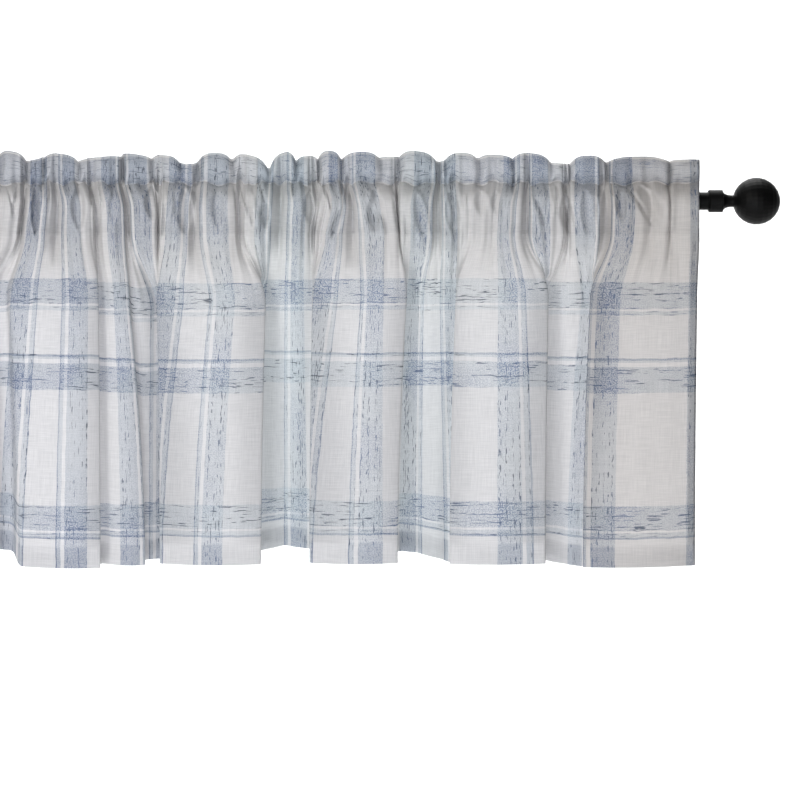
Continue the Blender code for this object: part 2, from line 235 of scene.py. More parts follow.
def crest_corners():
    """(flat, across, crest share) corners of the gathers, where share 1 is a crest and 0 a full pleat."""
    corners = []
    for crest in CRESTS:
        if corners:
            last = corners[-1]
            hidden, gap = crest.flat_right - last[0], crest.across_right - last[1]
            drop = math.sqrt(max((hidden / 2) ** 2 - (gap / 2) ** 2, 0.0)) / GATHER_DEPTH
            corners.append([last[0] + hidden / 2, last[1] + gap / 2, max(CREST_EDGE - drop, 0.0)])
        width = crest.across_left - crest.across_right
        spare = (crest.flat_left - crest.flat_right) / width - 1.0
        bow = CREST_BOW * min(math.sqrt(max(spare, 0.0)), 1.0)
        for t, share in ((0.0, CREST_EDGE), (0.5, CREST_EDGE + bow), (1.0, CREST_EDGE)):
            corners.append([lerp(crest.flat_right, crest.flat_left, t),
                            lerp(crest.across_right, crest.across_left, t), share])
    for edge in range(2, len(corners) - 2, 4):
        reach = min(PLEAT_REACH * (corners[edge + 2][1] - corners[edge][1]), MOST_REACH)
        corners[edge][1] += reach
        corners[edge + 2][1] -= reach
    return corners


UPPER = fold_corners("upper", UPPER_TUCK)
UPPER_OPEN = fold_corners("upper", 0.0)
HEM = fold_corners("hem", HEM_TUCK)
GATHERS = crest_corners()
LIFTS = [row for fold in FOLDS for row in ((fold.upper.flat_right, fold.lift_upper, fold.lift_hem),
                                           (fold.upper.flat_left, fold.lift_upper, fold.lift_hem))]
print("corners:", len(UPPER), "at the upper level,", len(HEM), "at the hem,", len(GATHERS), "on the rod")

# %% [markdown]
# The sheet is a grid. Its columns run from the hem to the header and its rows from one side hem to the
# other, close enough together that the light rolls round a fold without a facet. The columns follow the
# corners of the folds, so that no fold is cut across.

# %% Columns and rows of the sheet
COLUMN_PITCH = 2.6
SKIRT_ROWS = 69
ROW_CROWDING = 0.5           # how much closer the skirt's rows are at the top than in the middle
POCKET_ROWS = 26
HEADER_ROWS = 16
SKIRT_CLOTH = 303.0          # cloth from the hem's fold to the pocket's seam
POCKET_CLOTH = 48.0          # cloth over the rod, seam to seam
HEADER_CLOTH = 31.0


def row_shares():
    """Shares of the skirt's height for its rows, closer together towards the pocket's seam."""
    steps = np.linspace(0.0, 1.0, SKIRT_ROWS)
    return steps + ROW_CROWDING * steps * (1.0 - steps)


def columns():
    """Two arrays: each column's flat position at the upper level and at the hem."""
    uppers, hems = [UPPER[0][0]], [HEM[0][0]]
    for index in range(1, len(UPPER)):
        upper = UPPER[index - 1][0], UPPER[index][0]
        hem = HEM[index - 1][0], HEM[index][0]
        count = max(1, round(max(upper[1] - upper[0], hem[1] - hem[0]) / COLUMN_PITCH))
        for step in range(1, count + 1):
            uppers.append(lerp(*upper, step / count))
            hems.append(lerp(*hem, step / count))
    return np.array(uppers), np.array(hems)


upper_flat, hem_flat = columns()
print("columns:", len(upper_flat))

# %% [markdown]
# The skirt goes from the hem's folds through the upper folds into the gathers on the rod. The pocket bulges
# round the rod, and its layers never come nearer to it than their table says. The header leans back in a
# pleat and forward on a crest. Each stretch also carries its place on the flat cloth, because the plaid is
# woven in and has to bend with it.

# %% Skirt, pocket and header
PocketRow = namedtuple("PocketRow", "height pleat crest")
FRONT_OF_POCKET = (
    PocketRow(POCKET_SEAM, 1.0, -17.5), PocketRow(-18.0, -5.5, -22.5), PocketRow(-5.0, -10.0, -27.0),
    PocketRow(2.8, -9.7, -26.5), PocketRow(7.2, -7.0, -23.5), PocketRow(10.5, -4.0, -19.5),
    PocketRow(14.0, -0.5, -14.0), PocketRow(HEADER_SEAM, 1.0, -8.0),
)
BACK_OF_POCKET = (
    PocketRow(HEADER_SEAM, 1.0, -8.0), PocketRow(9.5, 6.5, 1.8), PocketRow(7.2, 11.5, 6.0),
    PocketRow(2.8, 15.0, 9.0), PocketRow(-5.0, 15.5, 9.0), PocketRow(-18.0, 12.0, 2.0),
    PocketRow(POCKET_SEAM, 2.4, -16.1),
)
HEADER_TOP_DEPTH = (0.0, -12.0)
HEADER_PUFF = 7.0            # how far a lobe swells forward between its seam and its edge
PUFF_POWER = 0.6             # under 1 the lobe swells out close to its seam
HEADER_FULLNESS = 0.6        # how far the header's pleats open again above their seam
HEADER_OPENING = 3.0         # how soon they have opened: 3 is a third of the way up
SEAM_SOFTNESS = 3.0          # the gathers are sharper than the folds, being held by stitches

# The gathers don't run straight down: each one leans on its way from the header's seam to the pocket's.
# A place between two rows is interpolated. A plus is towards the viewer's left.
Lean = namedtuple("Lean", "flat middle seam")
LEANS = (
    Lean(0, 0, 0), Lean(95, -3.5, -2), Lean(169, 1, 0), Lean(267, -2, -2), Lean(341, 5, 7),
    Lean(439, -2, -3), Lean(513, 4, 5), Lean(611, -5, -10), Lean(685, -4, 3), Lean(783, -2, -1),
    Lean(857, 2, 3.5), Lean(955, 1, 0), Lean(1029, 3.5, 5), Lean(1127, -5, -6), Lean(1201, -4.5, -5.5),
    Lean(1299, -5.5, -5.5), Lean(1373, 1, 4.5), Lean(1440, 0, 2.5), Lean(CLOTH_WIDTH, 0, 0),
)
LEAN_HEIGHTS = (POCKET_SEAM, -2.0, HEADER_SEAM)

# Lobes of the header's upper edge, right to left: where each starts and ends, and its height at
# its right side, its middle and its left side.
Lobe = namedtuple("Lobe", "across_right across_left right middle left")
LOBES = (
    Lobe(-4, 24, 37.2, 37.6, 36.4), Lobe(25, 82, 35.4, 40.2, 35.0), Lobe(83, 115, 34.8, 41.0, 34.0),
    Lobe(116, 133, 33.6, 34.2, 34.8), Lobe(133.5, 167, 36.0, 43.2, 38.5), Lobe(167, 197, 38.1, 41.8, 39.5),
    Lobe(199, 227.5, 38.1, 43.5, 38.1), Lobe(228, 235, 37.5, 36.0, 36.0), Lobe(236, 270, 36.0, 45.0, 39.8),
    Lobe(270.5, 285, 39.9, 39.9, 39.9), Lobe(288, 321.5, 39.0, 44.4, 38.1),
    Lobe(322.5, 343, 38.1, 45.3, 39.0), Lobe(343.5, 363, 37.6, 40.8, 36.3),
    Lobe(363.5, 387, 37.0, 43.4, 29.5), Lobe(388.5, 421, 29.5, 41.4, 37.2),
    Lobe(421.5, 451, 37.2, 43.5, 37.4), Lobe(453, 468, 34.5, 33.7, 34.8),
    Lobe(468.5, 494, 34.8, 41.4, 38.1), Lobe(495, 520, 39.0, 42.2, 42.6),
    Lobe(521, 559.5, 39.9, 39.9, 36.3), Lobe(560, 591, 35.4, 42.6, 39.4),
    Lobe(591.5, 607, 39.9, 37.6, 36.3), Lobe(608, 632, 37.6, 44.8, 41.7), Lobe(633, 661, 40.0, 42.5, 39.0),
    Lobe(662, 695, 38.5, 42.0, 38.0),
)
LOBE_POWER = 3.0             # how boxy a lobe is: 2 is round, more is flatter on top


def at(across, depth, height):
    """Points in mm as an array of (x, y, z)."""
    return np.stack(np.broadcast_arrays(CLOTH_RIGHT - across, depth, height), axis=-1)


def lean(height):
    """How far the gathers are moved across at one height of the pocket."""
    middle, seam = softened(LEANS, upper_flat)
    return sum(np.interp(height, LEAN_HEIGHTS, weights) * shift
               for weights, shift in (((1.0, 0.0, 0.0), seam), ((0.0, 1.0, 0.0), middle)))


# The hem isn't level inside a valley: these rows lift it there, by the flat position at the hem.
Arch = namedtuple("Arch", "flat lift")
ARCHES = (
    Arch(150, 0), Arch(157, -3.5), Arch(190, 0), Arch(226, 2), Arch(240, 0), Arch(440, 0), Arch(452, -6.3),
    Arch(464, -2.4), Arch(500, 4.5), Arch(525, 5.3), Arch(545, 0), Arch(760, 0), Arch(771, -2.5),
    Arch(803, 1.5), Arch(836, -4.3), Arch(850, 0),
)
ARCH_SHARE = 0.35            # how far up the skirt an arch reaches


def skirt_row(share):
    """One row of the skirt, share 0 at the hem and 1 at the pocket's seam, with its flat positions."""
    gather = softened(GATHERS, upper_flat, SEAM_SOFTNESS)
    upper, hem = softened(UPPER, upper_flat), softened(HEM, hem_flat)
    lift_upper, lift_hem = softened(LIFTS, upper_flat)
    if share >= UPPER_SHARE:
        t = (share - UPPER_SHARE) / (1.0 - UPPER_SHARE)
        opened = softened(UPPER_OPEN, upper_flat)
        tucked = (upper[0] - opened[0]) * (1.0 - ease(t / TUCK_FADE))
        across = lerp(opened[0], gather[0] + lean(POCKET_SEAM), ease(t)) + tucked
        seam_depth = lerp(FRONT_OF_POCKET[0].pleat, FRONT_OF_POCKET[0].crest, gather[1])
        depth = lerp(upper[1], seam_depth, ease((t - TUCK_FADE) / (1.0 - TUCK_FADE)))
        lift, flat = lift_upper * (1.0 - t), upper_flat
    else:
        t = 1.0 - share / UPPER_SHARE
        blend = 1.0 - (1.0 - t) ** HEM_EASE
        across, depth = lerp(upper[0], hem[0], blend), lerp(upper[1], hem[1], blend)
        arch = softened(ARCHES, hem_flat, SEAM_SOFTNESS)[0] * (1.0 - ease(share / ARCH_SHARE))
        lift, flat = lerp(lift_upper, lift_hem, t) + arch, lerp(upper_flat, hem_flat, blend)
    return at(across, depth, lerp(HEM_LINE, POCKET_SEAM, share) + lift), flat


def smooth_through(knots, places):
    """Values on a smooth curve through evenly numbered knots, at places counted in knots."""
    knots = np.concatenate([[2 * knots[0] - knots[1]], knots, [2 * knots[-1] - knots[-2]]])
    index = np.minimum(places.astype(int), len(knots) - 4)
    t = (places - index).reshape(-1, *[1] * (knots.ndim - 1))
    p0, p1, p2, p3 = (knots[index + k] for k in range(4))
    return 0.5 * (2 * p1 + (p2 - p0) * t + (2 * p0 - 5 * p1 + 4 * p2 - p3) * t ** 2
                  + (3 * p1 - p0 - 3 * p2 + p3) * t ** 3)


def pocket_rows(layer, count):
    """Rows of one pocket layer from its first seam to its second, both included."""
    across, crest = softened(GATHERS, upper_flat, SEAM_SOFTNESS)
    knots = np.array([at(across + lean(row.height), lerp(row.pleat, row.crest, crest), row.height)
                      for row in layer])
    return smooth_through(knots, np.linspace(0.0, len(layer) - 1, count))


def top_height(across):
    """Height of the header's upper edge over the rod's axis at places across."""
    ends = np.array([end for lobe in LOBES
                     for end in ((lobe.across_right, lobe.right), (lobe.across_left, lobe.left))])
    height = np.interp(across, ends[:, 0], ends[:, 1])
    for lobe in LOBES:
        t = np.clip((across - lobe.across_right) / (lobe.across_left - lobe.across_right), 0.0, 1.0)
        rise = lobe.middle - lerp(lobe.right, lobe.left, 0.5)
        height += rise * (1.0 - np.abs(2.0 * t - 1.0) ** LOBE_POWER)
    return height


def header_rows(count):
    """Rows of the header's front layer, from just above its seam to its upper edge.

    Its pleats, held shut by the stitches, open again above them.
    """
    across, crest = softened(GATHERS, upper_flat, SEAM_SOFTNESS)
    seam = lerp(FRONT_OF_POCKET[-1].pleat, FRONT_OF_POCKET[-1].crest, crest)
    height = top_height(across)
    rows = []
    for t in np.linspace(0.0, 1.0, count + 1)[1:]:
        full = lerp(crest, 1.0, HEADER_FULLNESS * ease(HEADER_OPENING * t))
        swell = HEADER_PUFF * np.maximum(full, 0.0) * max(math.sin(math.pi * t), 0.0) ** PUFF_POWER
        depth = lerp(seam, lerp(*HEADER_TOP_DEPTH, full), t) - swell
        rows.append(at(across, depth, lerp(HEADER_SEAM, height, t)))
    return np.array(rows)


skirt, skirt_flats = zip(*[skirt_row(share) for share in row_shares()])
pocket = pocket_rows(FRONT_OF_POCKET, POCKET_ROWS)[1:]
header = header_rows(HEADER_ROWS)
front = np.concatenate([np.array(skirt), pocket, header])
front_flat = np.concatenate([np.array(skirt_flats), np.tile(upper_flat, (len(pocket) + len(header), 1))])
front_height = np.concatenate([
    SKIRT_CLOTH * row_shares(),
    SKIRT_CLOTH + np.linspace(0.0, POCKET_CLOTH, POCKET_ROWS)[1:],
    SKIRT_CLOTH + POCKET_CLOTH + np.linspace(0.0, HEADER_CLOTH, HEADER_ROWS + 1)[1:],
])
print("front rows:", front.shape)

# %% [markdown]
# Finer puckers lie on top of the big folds: small leaves and hollows where the stitching draws the cloth
# in, the dark gaps between the header's lobes, and a few longer creases down the panels. They are placed
# from the picture. Each has the outline of a lens, pointed at both ends. A hollow has steep sides and
# a crease is a plain V. A minus depth makes a ridge.

# %% Creases and hollows
Crease = namedtuple("Crease", "across_top height_top across_bottom height_bottom half_width depth")
HOLLOWS = (
    Crease(560, 17, 560, -27, 7.0, 9.8), Crease(494, 14, 493, -16, 7.5, 8.4),
    Crease(464, 14, 464, -30, 8.5, 8.4), Crease(434, 13, 434, -24, 7.0, 7.7),
    Crease(391, 0, 391, -24, 5.5, 7.0), Crease(351, 10, 351, -22, 5.0, 7.0),
    Crease(291, 13, 292, -28, 7.0, 11.2), Crease(254, 10, 248, -34, 5.0, 6.3),
    Crease(222, 12, 222, -28, 7.0, 9.1), Crease(196, 11, 195, -12, 6.0, 5.6),
    Crease(182, 9, 181, -12, 5.5, 5.6), Crease(119, 8, 119, -26, 6.5, 6.3),
    Crease(101, 12, 99, -30, 6.5, 6.3), Crease(69, 12, 68, -18, 6.0, 8.4),
    Crease(52, 14, 34, -18, 9.0, 6.3), Crease(598, 17, 599, -32, 4.5, 11.2),
    Crease(320, -6, 332, -34, 4.0, 5.6), Crease(529, 12, 529, -20, 4.0, 5.6),
)
RIDGES = (
    Crease(299, 15, 283, -31, 6.0, -4.8), Crease(84, 16, 98, -80, 5.5, -4.2),
    Crease(255, 15, 242, -26, 4.5, -4.2), Crease(26, 14, 24, -30, 5.5, -3.6),
    Crease(154, 13, 138, -50, 6.5, -4.8), Crease(209, 8, 217, -74, 5.5, -3.6),
    Crease(611, 13, 603, -20, 6.0, -3.6), Crease(481, 13, 487, -34, 5.0, -4.2),
    Crease(405, 14, 397, -30, 5.0, -3.6), Crease(446, 12, 450, -26, 4.0, -3.0),
    Crease(373, 12, 371, -22, 5.0, -3.0), Crease(338, 14, 346, -24, 4.0, -3.6),
    Crease(130, 16, 131, -20, 4.0, -3.0), Crease(543, 14, 546, -30, 4.5, -3.0),
    Crease(311, 15, 306, -26, 4.0, -3.0),
)
SHARP = (
    Crease(614, 18, 621, -12, 3.0, 4.2), Crease(606, 16, 613, -18, 3.0, 4.8),
    Crease(625, 15, 617, -20, 3.0, 4.2), Crease(541, 18, 539, -12, 3.0, 5.4),
    Crease(551, 16, 548, -4, 3.0, 4.2), Crease(482.5, 11, 484.5, -36, 3.0, 6.0),
    Crease(473.5, 12, 473, -18, 3.0, 6.0), Crease(457, 15, 453, -18, 3.0, 4.8),
    Crease(419, 15, 417, -14, 3.0, 4.8), Crease(415, 15, 401, -26, 3.0, 5.4),
    Crease(397, 18, 391, -6, 3.0, 4.8), Crease(336, 12, 330, -16, 3.0, 4.8),
    Crease(318.5, 21, 318.5, -4, 3.0, 5.4), Crease(276, 8, 271, -26, 2.8, 6.0),
    Crease(265, -10, 264, -40, 3.0, 4.2), Crease(227, 17, 223, -6, 2.8, 5.4),
    Crease(146, 4, 138, -27, 3.0, 7.8), Crease(136, 20, 136, -14, 2.6, 4.2),
    Crease(131, 20, 132, -16, 2.6, 4.2), Crease(126, 20, 128, -10, 2.6, 3.6),
    Crease(121, 9, 110, -24, 2.8, 4.2), Crease(92, 3, 91, -22, 3.0, 6.0), Crease(64, 16, 36, -31, 3.2, 6.0),
    Crease(21, 14, 24, -100, 3.0, 4.8), Crease(366, 19, 366, 5, 4.0, 7.2),
    Crease(323, 19, 322, 4, 4.0, 7.2), Crease(167, 24, 167, 6, 4.0, 8.4), Crease(78, 18, 77, 4, 4.0, 7.2),
    Crease(511, 16, 508, -22, 3.0, 4.2), Crease(586, 14, 590, -20, 3.0, 4.2),
)
GAP_TOP, GAP_FOOT = 62.0, 13.0       # heights where a gap between two lobes starts and ends
GAP_HALF_WIDTH = 6.5
GAP_DEPTH = 9.5
GAP_POWER = 1.2
LAP = 0.25                   # how much steeper a crease is on its left side, where the cloth laps over
GAP_PLACES = [(lobe.across_left + after.across_right) / 2 for lobe, after in zip(LOBES, LOBES[1:])]
GAPS = [Crease(middle, GAP_TOP, middle, GAP_FOOT, GAP_HALF_WIDTH, GAP_DEPTH) for middle in GAP_PLACES]


def creased(points, creases, power, lap=1.0):
    """The same points with every crease pressed in, towards the back. Power 1 makes a V, more a box."""
    across, height = CLOTH_RIGHT - points[..., 0], points[..., 2]
    moved = points.copy()
    for crease in creases:
        run = crease.across_bottom - crease.across_top
        fall = crease.height_bottom - crease.height_top
        length = math.hypot(run, fall)
        along = ((across - crease.across_top) * run + (height - crease.height_top) * fall) / length ** 2
        beside = ((across - crease.across_top) * fall - (height - crease.height_top) * run) / length
        lens = np.clip(1.0 - (2.0 * along - 1.0) ** 2, 1e-6, 1.0)
        width = crease.half_width * lens * np.where(beside < 0.0, lap, 1.0)
        inside = np.clip(1.0 - (np.abs(beside) / width) ** power, 0.0, 1.0)
        moved[..., 1] += crease.depth * inside * np.sqrt(lens)
    return moved


front = creased(front, HOLLOWS, 2.5)
front = creased(front, RIDGES, 1.5)
front = creased(front, SHARP, 1.0, LAP)
front = creased(front, GAPS, GAP_POWER, LAP)
print("hollows:", len(HOLLOWS), "ridges:", len(RIDGES), "creases:", len(SHARP), "gaps:", len(GAPS))

# %% [markdown]
# Between the big gathers the cloth is full of small ripples, a finger's width or less, which stay near the
# rod and die out down the skirt. Two waves of different length, each with a wandering phase, never repeat
# to the eye.

# %% Ripples
Ripple = namedtuple("Ripple", "length wander size")
RIPPLES = (Ripple(17.0, 2.1, 1.0), Ripple(9.7, 1.7, 0.5))
WANDER_LENGTH = 90.0
RippleRow = namedtuple("RippleRow", "cloth strength")
RIPPLE_ROWS = (              # mm of cloth above the hem, and how strong the ripples are there
    RippleRow(225, 0.0), RippleRow(300, 0.9), RippleRow(325, 0.5), RippleRow(345, 1.2), RippleRow(351, 1.6),
    RippleRow(360, 0.9), RippleRow(382, 0.5),
)


def rippled(points, flats, strength):
    """The same points moved back and forth by the ripples, where strength is one number for each row."""
    wave = np.zeros(flats.shape)
    for ripple in RIPPLES:
        phase = ripple.wander * np.sin(flats / WANDER_LENGTH * ripple.wander)
        wave += ripple.size * np.sin(2 * math.pi * flats / ripple.length + phase)
    moved = points.copy()
    moved[..., 1] += wave * strength[:, None]
    return moved


ripple_strength = np.interp(front_height, *zip(*RIPPLE_ROWS))
front = rippled(front, front_flat, ripple_strength)
print("ripples start", RIPPLE_ROWS[0].cloth, "mm above the hem")

# %% [markdown]
# A gathered seam is never straight. The stitching that closes the pocket at the top sways up and down by a
# millimetre or two from lobe to lobe, and the cloth above and below follows it.

# %% Sway of the header's seam
SWAYS = (Ripple(61.0, 1.3, 1.7), Ripple(27.0, 2.2, 1.2))
SWAY_START = 22.0            # mm of cloth above the pocket's lower seam where the sway starts
SWAY_REACH = 22.0            # mm of cloth above the header's seam that still sways
SWAY_ROWS = (                # mm of cloth above the hem, and how strong the sway is there
    (SKIRT_CLOTH + SWAY_START, 0.0),
    (SKIRT_CLOTH + POCKET_CLOTH, 1.0),
    (SKIRT_CLOTH + POCKET_CLOTH + SWAY_REACH, 0.0),
)
sway = sum(wave.size * np.sin(2 * math.pi * front_flat / wave.length + wave.wander) for wave in SWAYS)
front[..., 2] += sway * np.interp(front_height, *zip(*SWAY_ROWS))[:, None]
print("the header's seam sways by up to", round(float(np.abs(sway).max()), 1), "mm")

# %% [markdown]
# Cloth that rests on a rod doesn't sink into it. After all the pressing and rippling, any point that came
# too near is moved straight out to the rod's surface, forward for the front layer and back for the other
# one.

# %% Clear of the rod
ROD_CLEAR = 9.3              # nearest that the cloth's middle comes to the rod's axis


def clear_of_rod(points, side):
    """The same points, moved out where they would touch the rod: side -1 is the front layer, 1 the back."""
    moved = points.copy()
    reach = np.sqrt(np.maximum(ROD_CLEAR ** 2 - moved[..., 2] ** 2, 0.0))
    near = (reach > 0.0) & (moved[..., 1] * side < reach)
    moved[..., 1] = np.where(near, side * reach, moved[..., 1])
    return moved


front = clear_of_rod(front, -1.0)
print("cloth stays", ROD_CLEAR, "mm from the rod's axis")

# %% [markdown]
# The rest of the sheet is what the maker turned over. The hem is folded up behind the skirt, the header's
# back layer hangs down behind its front, and the pocket's back layer goes behind the rod to the lower seam.
# The two sides have a narrow hem as well. Made in this order, the whole valance is one connected sheet,
# like the real one.

# %% Turned parts
HEM_TURN = 19.5              # the hem folded up behind the skirt, as far as the last whole row below this
SIDE_TURN = 9.0              # the same at the two sides
LAYER_GAP = 0.9              # between two layers of cloth
FOLD_DROP = 0.4              # how far a fold's outer edge stands off
EDGE_SLACK = 0.5             # rows and columns nearer than this to an edge lie on it
BACK_ROWS = 14


def normals(points):
    """Unit normals of a grid of points, towards the cloth's reverse side."""
    along = np.gradient(points, axis=1)
    up = np.gradient(points, axis=0)
    cross = np.cross(along, up)
    return cross / np.maximum(np.linalg.norm(cross, axis=-1, keepdims=True), 1e-9)


behind = normals(front)
turned_rows = [r for r in range(len(front_height)) if EDGE_SLACK < front_height[r] <= HEM_TURN]
hem_back = (front + behind * LAYER_GAP)[turned_rows[::-1]]
hem_fold = front[:1] + behind[:1] * LAYER_GAP / 2 - np.array([0.0, 0.0, FOLD_DROP])

header_start = SKIRT_ROWS + POCKET_ROWS - 1
top_fold = front[-1:] + behind[-1:] * LAYER_GAP / 2 + np.array([0.0, 0.0, FOLD_DROP])
header_back = (front + behind * LAYER_GAP)[header_start:][::-1]
pocket_back = pocket_rows(BACK_OF_POCKET, BACK_ROWS)
pocket_back = rippled(pocket_back, np.tile(upper_flat, (BACK_ROWS, 1)), np.ones(BACK_ROWS))
pocket_back = clear_of_rod(pocket_back, 1.0)

sheet = np.concatenate([hem_back, hem_fold, front, top_fold, header_back, pocket_back])
top_cloth = front_height[-1]
sheet_height = np.concatenate([
    -front_height[turned_rows][::-1], [-FOLD_DROP], front_height, [top_cloth + FOLD_DROP],
    2 * top_cloth + 1.0 - front_height[header_start:][::-1],
    top_cloth + 1.0 + HEADER_CLOTH + np.linspace(0.0, POCKET_CLOTH, BACK_ROWS),
])
sheet_flat = np.concatenate([
    front_flat[turned_rows][::-1], front_flat[:1], front_flat, front_flat[-1:],
    front_flat[header_start:][::-1], np.tile(upper_flat, (BACK_ROWS, 1)),
])
print("sheet:", sheet.shape, "cloth from", round(sheet_height[0], 1), "to", round(sheet_height[-1], 1), "mm")

# %% [markdown]
# The places across in the tables were read off the picture. What is nearer to the camera looks farther from
# the middle there than it is, so every point is drawn in by its nearness.

# %% Drawn in by nearness
middle_x = PICTURE_MIDDLE[0]
sheet[..., 0] = middle_x + (sheet[..., 0] - middle_x) * (1.0 + sheet[..., 1] / CAMERA_AWAY)
print("nearest point:", round(float(sheet[..., 1].min()), 1), "mm in front of the rod's axis")

# %% Side hems
right_columns = [c for c in range(len(upper_flat)) if EDGE_SLACK < upper_flat[c] <= SIDE_TURN][::-1]
left_columns = [c for c in range(len(upper_flat))
                if EDGE_SLACK < CLOTH_WIDTH - upper_flat[c] <= SIDE_TURN][::-1]
turned = sheet + normals(sheet) * LAYER_GAP
sheet = np.concatenate([turned[:, right_columns], sheet, turned[:, left_columns]], axis=1)
sheet_flat = np.concatenate([-sheet_flat[:, right_columns], sheet_flat,
                             2 * CLOTH_WIDTH - sheet_flat[:, left_columns]], axis=1)
print("with side hems:", sheet.shape)

# %% [markdown]
# The grid becomes a mesh with a UV map that holds each point's place on the flat cloth, in metres. The
# plaid and the weave read that map, so a stripe follows its thread round every fold.


# %% Sheet mesh
def grid_mesh(name, points, flats, heights):
    """A mesh of quads over a grid of points in mm, with the flat cloth in metres as its UV map."""
    rows, count = points.shape[:2]
    index = np.arange(rows * count).reshape(rows, count)
    faces = np.stack([index[:-1, :-1], index[1:, :-1], index[1:, 1:], index[:-1, 1:]], axis=-1).reshape(-1, 4)
    mesh = bpy.data.meshes.new(name)
    mesh.from_pydata((points.reshape(-1, 3) * MM).tolist(), [], faces.tolist())
    flat_map = np.stack(np.broadcast_arrays(flats, heights[:, None]), axis=-1).reshape(-1, 2) * MM
    layer = mesh.uv_layers.new(name="flat_cloth")
    corners = np.empty(len(mesh.loops), int)
    mesh.loops.foreach_get("vertex_index", corners)
    layer.uv.foreach_set("vector", flat_map[corners].astype(np.float32).ravel())
    mesh.shade_smooth()
    thing = bpy.data.objects.new(name, mesh)
    bpy.context.collection.objects.link(thing)
    return thing


valance = grid_mesh("valance_sheet", sheet, sheet_flat, sheet_height)
print("valance_sheet:", len(valance.data.polygons), "quads")
widths = np.linalg.norm(np.diff(sheet, axis=1), axis=-1).sum(axis=1) / (CLOTH_WIDTH + 2 * SIDE_TURN)
print("share of the flat width that each tenth row holds:", [round(float(w), 2) for w in widths[::10]])

# %% [markdown]
# The cloth is a slub voile: a thin plain weave of cotton-like yarn with uneven, thicker places in the
# thread. It was woven from dyed yarn, so a stripe is a run of coloured threads and the crossing of two
# stripes is the colour of both. To the eye that gives pale grounds with faint lines both ways, soft blue
# stripes broken by short dark dashes along the thread, and a speckled denim blue where two broad stripes
# cross. Cloth has no clear gloss, so its roughness is high, and a part of the light comes through from
# behind. Two more tables hold painted light. The one up the cloth paints a shade line along the top of the hem
# and along each seam, and a slightly darker, warmer shade towards the top of the skirt; it also holds the
# share of a second layer where the cloth is doubled. The one across it paints shade that makes the right-hand
# panel a little darker and warmer than the others and a cool tint of light through the cloth in two valleys,
# and it makes the dyed threads stronger on the right-hand panel and towards the left.

# %% Plaid
Stripe = namedtuple("Stripe", "start tint slubs")
GROUND, BROAD, LINE, THIN, EDGE = "#F6F6F6", "#EFF2F4", "#FBFBFB", "#EFF2F4", "#D3D9E1"
WARP_REPEAT = 172.0          # mm of flat cloth
WARP_START = 83.3            # where the first whole pair of stripes starts
WARP = (
    Stripe(0.0, BROAD, 0.9), Stripe(23.5, LINE, 0.0), Stripe(27.1, THIN, 0.6), Stripe(31.3, EDGE, 1.0),
    Stripe(32.5, GROUND, 0.06), Stripe(65.1, EDGE, 1.0), Stripe(66.3, THIN, 0.6), Stripe(70.6, LINE, 0.0),
    Stripe(74.2, BROAD, 0.9), Stripe(97.7, GROUND, 0.0),
)
WEFT_START = -25.0           # heights above the hem, in mm of cloth
WEFT_SPAN = 500.0
WEFT = (
    Stripe(-25.0, GROUND, 0.0), Stripe(25.3, EDGE, 1.0), Stripe(26.5, THIN, 0.6), Stripe(29.9, LINE, 0.0),
    Stripe(32.6, BROAD, 1.0), Stripe(57.0, GROUND, 0.0), Stripe(159.0, BROAD, 1.0),
    Stripe(183.7, LINE, 0.0), Stripe(186.4, THIN, 0.6), Stripe(189.8, EDGE, 1.0),
    Stripe(191.0, GROUND, 0.05), Stripe(229.0, EDGE, 1.0), Stripe(230.2, THIN, 0.6),
    Stripe(233.5, LINE, 0.0), Stripe(236.0, BROAD, 1.0), Stripe(260.0, GROUND, 0.0),
    Stripe(350.5, "#F6F8F9", 0.7), Stripe(377.5, LINE, 0.0), Stripe(379.3, THIN, 0.8),
    Stripe(382.8, EDGE, 1.2), Stripe(384.0, GROUND, 0.05), Stripe(423.0, THIN, 0.6),
    Stripe(427.5, LINE, 0.0), Stripe(430.0, BROAD, 1.0), Stripe(454.0, GROUND, 0.0),
)
THREAD_WANDER = 1.0          # mm that a thread strays
# Painted shade up the cloth: faint dark lines at the top of the hem and at both seams stand in for the shade
# of their folds, and a darker, warmer tone towards the top of the skirt stands in for less light there.
LAYERS_AND_PAINTED_SHADE = (                   # painted shade up the cloth, and the share of a second layer
    Stripe(-25.0, "#FFFFFF", 1.0), Stripe(18.4, "#FFFFFF", 1.0), Stripe(18.8, "#F0F0F2", 1.0),
    Stripe(19.2, "#FFFFFF", 0.0), Stripe(215.0, "#FFFFFF", 0.0), Stripe(285.0, "#F6F5F3", 0.0),
    Stripe(301.5, "#F8F7F5", 0.5), Stripe(302.4, "#EEEDEB", 0.5), Stripe(303.3, "#FAF9F7", 0.5),
    Stripe(312.0, "#FFFEFC", 0.5), Stripe(350.0, "#FFFEFC", 0.6), Stripe(350.8, "#F8F6F3", 0.7),
    Stripe(351.6, "#FFFFFE", 0.7),
)
# Painted light across the cloth: the right-hand panel is darker and warmer, as if turned away from the lamps,
# and two valleys get a cool tint of light through the cloth.
PAINTED_LIGHT_AND_DYE_ACROSS = (                    # painted shade and cool light across the cloth, and how much stronger the dyed threads are there
    Stripe(-9.0, "#F1EEEB", 0.2), Stripe(118.0, "#F1EEEB", 0.3), Stripe(160.0, "#FFFFFF", 0.1),
    Stripe(400.0, "#FFFFFF", 0.0), Stripe(440.0, "#FBFEFE", 0.0), Stripe(525.0, "#FBFEFE", 0.0),
    Stripe(565.0, "#FFFFFF", 0.0), Stripe(725.0, "#FFFFFF", 0.0), Stripe(775.0, "#FAFEFE", 0.0),
    Stripe(836.0, "#FAFEFE", 0.0), Stripe(900.0, "#FFFFFF", 0.0), Stripe(1060.0, "#FEFEFE", 0.2),
    Stripe(1380.0, "#FCFCFD", 0.4),
)
cloth_material, cloth_output = new_material("slub_cotton_voile")
tree = cloth_material.node_tree


